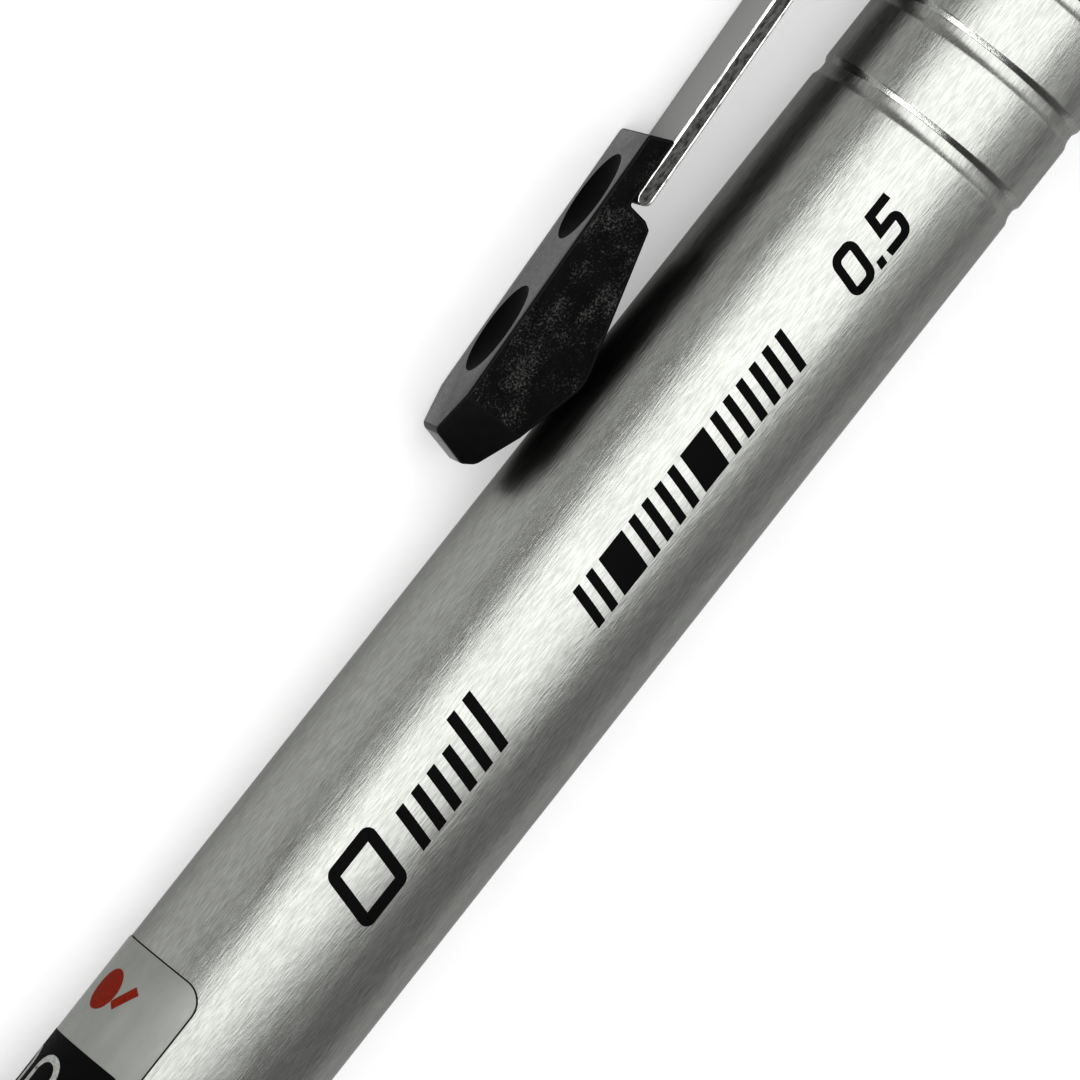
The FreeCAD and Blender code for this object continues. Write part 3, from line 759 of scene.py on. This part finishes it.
def clip_sheet():
    """The clip's one bent sheet, with matt faces, dark sheared sides and bright corners that carry painted
    highlight lines.
    """
    sheared = 0.28              # half the height of the dark sheared side
    half_w, half_t, round_r = CLIP_WIDTH / 2, SHEET / 2, 0.12
    ring_corners = [(half_w, half_t, round_r), (-half_w, half_t, round_r),
                    (-half_w, -half_t, round_r), (half_w, -half_t, round_r)]
    shape = outline(ring_corners, 3, 0.05)
    sections = clip_sections()
    bm = bmesh.new()
    rings = []
    for index, (middle, thin) in enumerate(sections):
        before = sections[max(0, index - 1)][0]
        after = sections[min(len(sections) - 1, index + 1)][0]
        along = (after - before).normalized()
        normal = Vector((along.y, -along.x))
        ring = []
        for across, up in shape:
            point = middle + normal * (up * thin)
            ring.append(bm.verts.new(clip_point(point.x, across, point.y)))
        rings.append(ring)
    count = len(shape)
    for first, second in zip(rings, rings[1:]):
        for k in range(count):
            n = (k + 1) % count
            face = bm.faces.new([first[k], first[n], second[n], second[k]])
            height = abs(shape[k].y + shape[n].y) / 2
            if height < sheared:
                face.material_index = 1
            elif height <= half_t - 0.02:
                # the rounded corners get the bright metal: painted highlight lines over a real burnish
                face.material_index = 2
    bm.faces.new(rings[0]).material_index = 1
    bm.faces.new(rings[-1]).material_index = 2
    return make_object("clip_bent_sheet", bm, [CLIP_FACE, CLIP_EDGE, CLIP_CORNER_BURNISH_AND_HIGHLIGHT], 40)


def clip_spring():
    """The bent sheet and the washer that holds it."""
    sheet = clip_sheet()
    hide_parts("clip_strap")
    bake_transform(sheet)
    low, high = BARREL_END + 0.01, BARREL_END + SHEET - 0.01
    washer = turned("clip_washer", [
        (low, BORE_R), (low, BARREL_R, 0.08), (high, BARREL_R, 0.08), (high, BORE_R)], CLIP_EDGE)
    place(washer, "root", "clip_steel", "clip_ring")


def prism(bm, points, half_width):
    """Closed solid over a side outline of (x, height) points, half_width to each side of the clip."""
    rings = []
    for across in (-half_width, half_width):
        rings.append([bm.verts.new((x, across, height)) for x, height in points])
    count = len(points)
    for k in range(count):
        n = (k + 1) % count
        bm.faces.new([rings[0][k], rings[0][n], rings[1][n], rings[1][k]])
    bm.faces.new(rings[0])
    bm.faces.new(rings[1])


def add_modifier(piece, kind, **values):
    """Add a modifier with the given settings."""
    modifier = piece.modifiers.new(kind.lower(), kind)
    for key, value in values.items():
        setattr(modifier, key, value)


def settle(piece, *helpers):
    """Apply every modifier and remove the helper objects they used."""
    bpy.context.view_layer.update()
    graph = bpy.context.evaluated_depsgraph_get()
    mesh = bpy.data.meshes.new_from_object(piece.evaluated_get(graph))
    piece.modifiers.clear()
    piece.data = mesh
    for helper in helpers:
        bpy.data.objects.remove(helper)


def finish_shoe(mesh):
    """Textured sides, smooth outer and end faces, and crisp rims round the dimples, whose faces keep their
    painted-shade black.
    """
    dimple = mesh.materials.find(SHOE_DIMPLE_PAINTED_SHADE.name)
    sideways, straight = 0.985, 0.97    # how squarely a face has to look that way
    for face in mesh.polygons:
        if face.material_index == dimple:
            continue
        if abs(face.normal.y) > sideways:
            face.material_index = mesh.materials.find(SHOE_SIDE.name)
        elif face.normal.z > straight or face.normal.x < -straight:
            face.material_index = mesh.materials.find(SHOE_FACE.name)
    bm = bmesh.new()
    bm.from_mesh(mesh)
    for edge in bm.edges:
        rim = len({face.material_index == dimple for face in edge.link_faces}) > 1
        edge.smooth = not rim and edge.calc_face_angle(0) < math.radians(40)
    for face in bm.faces:
        face.smooth = True
    bm.to_mesh(mesh)
    bm.free()


def shoe_side():
    """Side outline of the shoe: (x, height) points."""
    pad_h = BARREL_R + 0.03
    roof_x, heel_x = TOE + SHOE_ROOF, TOE + SHOE_HEEL
    outer = STRAP_DATUM[1] - STRAP_DATUM[0] * math.tan(STRAP_SLOPE)
    return outline([
        (TOE, 6.76), (TOE + BROW, BROW_HEIGHT, 0.3), (TOE + 15.0, 9.40, 0.2),
        (roof_x, outer + roof_x * math.tan(STRAP_SLOPE)),
        (heel_x, outer + heel_x * math.tan(STRAP_SLOPE)),
        (heel_x - 0.1, 7.3), (heel_x - 0.3, 6.95, 0.2),
        (TOE + 5.5, pad_h, 2.0), (TOE + 0.35, 6.29, 0.5)], 6)


def taper_toe(bm):
    """Cut both sides of the toe back at an angle."""
    toe_width, taper = 2.2, 2.2
    for across in (-1, 1):
        run = Vector((taper, across * (SHOE_WIDTH - toe_width) / 2, 0)).normalized()
        normal = Vector((-run.y, run.x, 0)) * across
        geometry = bm.verts[:] + bm.edges[:] + bm.faces[:]
        cut = bmesh.ops.bisect_plane(bm, geom=geometry, plane_co=(TOE, across * toe_width / 2, 0),
                                     plane_no=normal, clear_outer=True)
        edges = [item for item in cut["geom_cut"] if isinstance(item, bmesh.types.BMEdge)]
        bmesh.ops.edgeloop_fill(bm, edges=edges)


def dimple_cutter(behind):
    """Hidden ball that cuts one shallow dimple into the shoe's outer face."""
    tilt = math.radians(3.4)    # of the outer face
    sphere_r = (DIMPLE_R ** 2 + DIMPLE_DEPTH ** 2) / (2 * DIMPLE_DEPTH)
    face_h = BROW_HEIGHT + (behind - BROW) * math.tan(tilt)
    above = sphere_r - DIMPLE_DEPTH
    ball = bmesh.new()
    bmesh.ops.create_uvsphere(ball, u_segments=160, v_segments=96, radius=sphere_r)
    offset = Vector((TOE + behind - above * math.sin(tilt), 0, face_h + above * math.cos(tilt)))
    bmesh.ops.translate(ball, vec=offset, verts=ball.verts)
    # the cut faces take this ball's painted-shade black
    cutter = make_object("dimple_cutter", ball, [SHOE_DIMPLE_PAINTED_SHADE])
    cutter.hide_render = True
    return cutter


def shoe():
    """Moulded shoe: built upright over its side outline, then rolled to the clip's line."""
    bm = bmesh.new()
    prism(bm, shoe_side(), SHOE_WIDTH / 2)
    taper_toe(bm)
    piece = make_object("clip_shoe_moulding", bm, [SHOE, SHOE_SIDE, SHOE_FACE, SHOE_DIMPLE_PAINTED_SHADE], 25)
    add_modifier(piece, "BEVEL", width=0.12 * MM, segments=4, limit_method="ANGLE",
                 angle_limit=math.radians(32))
    cutters = [dimple_cutter(behind) for behind in DIMPLES]
    for cutter in cutters:
        add_modifier(piece, "BOOLEAN", operation="DIFFERENCE", object=cutter, solver="EXACT",
                     material_mode="TRANSFER")
    settle(piece, *cutters)
    finish_shoe(piece.data)
    for vert in piece.data.vertices:
        x, across, height = vert.co
        vert.co = clip_point(x, across, height)
    place(piece, "clip", "black_plastic", "clip_shoe")


# ---- rear end -----------------------------------------------------------------------------
def rear_end():
    """Collar, push button and the eraser under it."""
    low, high = span("end_collar")
    collar = turned("end_collar_shell", [
        (low, 4.1), (low, 5.0, 0.06), (low + 1.6, 5.0, 0.6), (high, 4.55, 0.35), (high, 3.5, 0.12),
        (high - 1.0, 3.5), (high - 1.0, 4.1)], BRIGHT)
    place(collar, "root", "bright_steel", "end_collar")
    low, high = span("push_button")
    button = turned("push_button_cap", [
        (low, 2.96), (low, 3.3, 0.1), (low + 6.2, 3.3, 0.05), (low + 6.3, 3.2, 0.05),
        (low + 6.7, 3.2, 0.05), (low + 6.8, 3.3, 0.05), (high - 1.1, 3.3, 0.7), (high - 0.05, 2.2, 1.0),
        (high, 0), (high - 1.4, 0), (high - 1.4, 2.96)], BRIGHT)
    place(button, "cap", "bright_steel", "push_button")
    low, high = span("eraser")
    plug = turned("eraser_plug", [
        (low, 0), (low, 2.28, 0.1), (high, 2.28, 0.35), (high, 0)], ERASER)
    place(plug, "feed", "eraser", "eraser")


# ---- front end ----------------------------------------------------------------------------
def front_band():
    """Plain steel band between the grip and the barrel."""
    low, high = span("trim_ring")
    band = turned("plain_front_band", [
        (low, BORE_R), (low, BARREL_R, 0.15), (high, BARREL_R, 0.15), (high, BORE_R)], BAND_STEEL)
    place(band, "root", "barrel_steel", "trim_ring")


def grip():
    """Grip sleeve with rounded grooves, a little thicker towards the rear."""
    low, high = span("grip_sleeve")
    front_r, rear_r, grooves, depth = 4.6, 4.85, 12, 0.3
    mouth, floor = 0.35, 0.33   # half widths of a groove at its mouth and floor
    pitch = (high - low) / (grooves + 1)
    corners = [(low, BORE_R), (low, front_r, 0.3)]
    for groove in range(1, grooves + 1):
        middle = low + pitch * groove
        surface = front_r + (rear_r - front_r) * groove / (grooves + 1)
        corners += [(middle - mouth, surface, 0.12), (middle - floor, surface - depth, 0.1)]
        corners += [(middle + floor, surface - depth, 0.1), (middle + mouth, surface, 0.12)]
    corners += [(high, rear_r, 0.08), (high, BORE_R)]
    sleeve = turned("ribbed_grip", corners, GRIP, support=0.0)
    place(sleeve, "root", "grip_rubber", "grip_sleeve")


def writing_end():
    """Nose cone, guide sleeve and lead."""
    low, high = span("nose_cone")
    cone = turned("nose_cone_shell", [
        (low, 0.5), (low, 1.2, 0.2), (low + 1.2, 1.38, 0.8), (low + 19.0, 4.6, 0.12),
        (low + 19.0, 3.7, 0.05), (high, 3.7, 0.2), (high, 3.0), (low + 13.4, 3.0), (low + 13.4, 2.15),
        (low + 7.0, 2.15), (low + 7.0, 1.35), (low + 4.55, 1.35), (low + 4.55, 0.5)], BRIGHT)
    place(cone, "nose", "barrel_steel", "nose_cone")

    low, high = span("guide_sleeve")
    sleeve = turned("guide_sleeve_tube", [
        (low, 0.29), (low, 0.45, 0.08), (high, 0.45), (high, 0.29)], WIRE, steps=64, support=0.02)
    place(sleeve, "tip", "spring_steel", "guide_sleeve")

    low, high = span("writing_lead")
    lead = turned("writing_lead_stick", [
        (low, 0), (low, 0.16, 0.04), (low + 0.2, 0.25, 0.05), (high, 0.25), (high, 0)],
        GRAPHITE, steps=48, support=0.02)
    place(lead, "lead", "graphite", "writing_lead")


# ---- springs ------------------------------------------------------------------------------
def coil_height(turn, turns, length, wire):
    """Distance along the spring at a number of turns; the first and last turn lie flat."""
    dead = 0.9
    if turn < dead:
        return wire * turn
    if turn > turns - dead:
        return length - wire * (turns - turn)
    open_length = length - 2 * wire * dead
    return wire * dead + open_length * (turn - dead) / (turns - 2 * dead)


def coil_spring(name, start, end, outer, wire, turns):
    """Compression spring with closed ends along the pencil's axis."""
    per_turn, around = 40, 12   # steps along each turn and round the wire
    bm = bmesh.new()
    middle_r = outer - wire / 2
    low, length = start + wire / 2, end - start - wire
    rings = []
    for step in range(round(turns * per_turn) + 1):
        turn = step / per_turn
        angle = 2 * math.pi * turn
        radial = Vector((0, math.sin(angle), math.cos(angle)))
        centre = Vector((low + coil_height(turn, turns, length, wire), 0, 0)) + radial * middle_r
        ring = []
        for side in range(around):
            phi = 2 * math.pi * side / around
            offset = radial * math.cos(phi) + Vector((1, 0, 0)) * math.sin(phi)
            ring.append(bm.verts.new(centre + offset * (wire / 2)))
        rings.append(ring)
    for first, second in zip(rings, rings[1:]):
        for side in range(around):
            n = (side + 1) % around
            bm.faces.new([first[side], first[n], second[n], second[side]])
    bm.faces.new(rings[0])
    bm.faces.new(rings[-1])
    return make_object(name, bm, [WIRE], 50)


def springs():
    """The clutch's main spring and the tip slider's light spring."""
    main = coil_spring("main_spring_coil", *MAIN_SPRING, 2.4, 0.4, 9)
    place(main, "root", "spring_steel", "main_spring")
    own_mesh(main)
    small = coil_spring("slider_spring_coil", *SLIDER_SPRING, 2.05, 0.25, 6)
    place(small, "nose", "spring_steel", "slider_spring")
    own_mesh(small)


# ---- inner CAD pieces that keep their own meshes ------------------------------------------
def finish_inner_pieces():
    """Give each inner CAD piece its material."""
    finishes = {
        BRASS: ["nose_insert", "clutch_ring", "clutch_jaw_upper", "clutch_jaw_lower",
                "clutch_housing", "chuck_holder", "tip_slider"],
        WIRE: ["clutch_ball_upper", "clutch_ball_lower", "cleaning_pin"],
        CORE: ["grip_core"],
        INNER: ["rear_bush", "button_liner", "eraser_holder"],
        TUBE: ["lead_tube"],
        SMALL_RUBBER: ["lead_retainer"],
        GRAPHITE: ["spare_leads"],
    }
    for material, names in finishes.items():
        for name in names:
            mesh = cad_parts[name].data
            mesh.materials.clear()
            mesh.materials.append(material)


# ---- floor, lights and camera -------------------------------------------------------------
def from_view(side, along, distance):
    """Vector given by its share across the pencil, along it, and out to the camera's side of it."""
    azimuth = math.radians(VIEW_AZIMUTH)
    toward = Vector((0, math.sin(azimuth), math.cos(azimuth)))
    across = Vector((0, math.cos(azimuth), -math.sin(azimuth)))
    return Vector((along, 0, 0)) + across * side + toward * distance


def facing(back, across):
    """Unit vectors of a camera or light: back away from what it faces, side close to across, and up."""
    back = back.normalized()
    side = (across - back * back.dot(across)).normalized()
    return side, back.cross(side), back


def stand(thing, place_at, side, up, back):
    """Put a camera or light at a point with the given axes, and link it."""
    item = bpy.data.objects.new(thing.name, thing)
    item.matrix_world = Matrix((
        (side.x, up.x, back.x, place_at.x), (side.y, up.y, back.y, place_at.y),
        (side.z, up.z, back.z, place_at.z), (0, 0, 0, 1)))
    bpy.context.scene.collection.objects.link(item)
    return item


def softbox(name, offset, long_axis, length, width, power):
    """Rectangular area light that faces the pencil from offset, its long side along long_axis.

    Offset and sides are in metres, power in watts.
    """
    light = bpy.data.lights.new(name, "AREA")
    light.shape = "RECTANGLE"
    light.size = length
    light.size_y = width
    light.energy = power
    stand(light, Vector((CAMERA_X * MM, 0, 0)) + offset, *facing(offset, long_axis))


def paper_floor():
    """Translucent white sheet under the pencil, lit faintly from below like a light table."""
    shade, glow = 0.44, 0.28
    surface = Surface("floor_paper", (shade,) * 3, 0.0, 0.9,
                      Emission_Color=(1, 1, 1, 1), Emission_Strength=glow)
    fibre = surface.noise((1.5, 1.5, 1.5), 2.0)
    surface.tint(fibre, (shade - 0.005,) * 3, (shade + 0.005,) * 3)
    bm = bmesh.new()
    bmesh.ops.create_grid(bm, x_segments=4, y_segments=4, size=3000)
    bmesh.ops.translate(bm, vec=(0, 0, -BARREL_R), verts=bm.verts)
    floor = make_object("floor_sheet", bm, [surface.material])


def softboxes():
    """A large softbox above, one low at the writing end and a weak one from the far side."""
    across = from_view(1, 0, 0)
    twist = math.radians(-20)
    twisted = from_view(math.cos(twist), math.sin(twist), 0)
    softbox("main_softbox", from_view(-0.10, 0.10, 0.70), twisted, 1.48, 0.80, 7.4)
    softbox("front_softbox", from_view(0.255, -0.72, 0.64), across, 0.99, 0.30, 4.7)
    softbox("fill_softbox", from_view(-0.75, 0.35, 0.15), Vector((1, 0, 0)), 0.5, 0.4, 0.5)


def soft_world():
    """Even soft grey all round, darker towards the writing end."""
    world = bpy.data.worlds.new("studio")
    world.use_nodes = True
    tree = world.node_tree
    direction = tree.nodes.new("ShaderNodeTexCoord")
    split = tree.nodes.new("ShaderNodeSeparateXYZ")
    fade = tree.nodes.new("ShaderNodeMapRange")
    fade.inputs["From Min"].default_value = -0.65
    fade.inputs["From Max"].default_value = -0.25
    fade.inputs["To Min"].default_value = 0.10
    fade.inputs["To Max"].default_value = 0.34
    tree.links.new(direction.outputs["Generated"], split.inputs["Vector"])
    tree.links.new(split.outputs["X"], fade.inputs["Value"])
    tree.links.new(fade.outputs["Result"], tree.nodes["Background"].inputs["Strength"])
    tree.nodes["Background"].inputs["Color"].default_value = (1, 1, 1, 1)
    bpy.context.scene.world = world
    bpy.context.scene.view_settings.view_transform = "Standard"
    bpy.context.scene.view_settings.look = "High Contrast"


def camera():
    """Camera above the pencil's upper side: the button points up to the right, the clip to the left."""
    spot = from_view(CAMERA_ASIDE, CAMERA_X, CAMERA_HEIGHT) * MM
    back = (spot - CAMERA_AIM * MM).normalized()
    upward = from_view(CAMERA_UP[1], CAMERA_UP[0], 0)
    right = upward.cross(back).normalized()
    data = bpy.data.cameras.new("camera")
    data.lens = FOCAL_LENGTH
    data.sensor_width = 36.0
    data.clip_start = 0.01
    bpy.context.scene.camera = stand(data, spot, right, back.cross(right), back)


barrel()
label()
long_stripes()
short_stripes()
lead_size()
clip_spring()
shoe()
rear_end()
front_band()
grip()
writing_end()
springs()
finish_inner_pieces()
paper_floor()
softboxes()
soft_world()
camera()

bpy.context.view_layer.update()
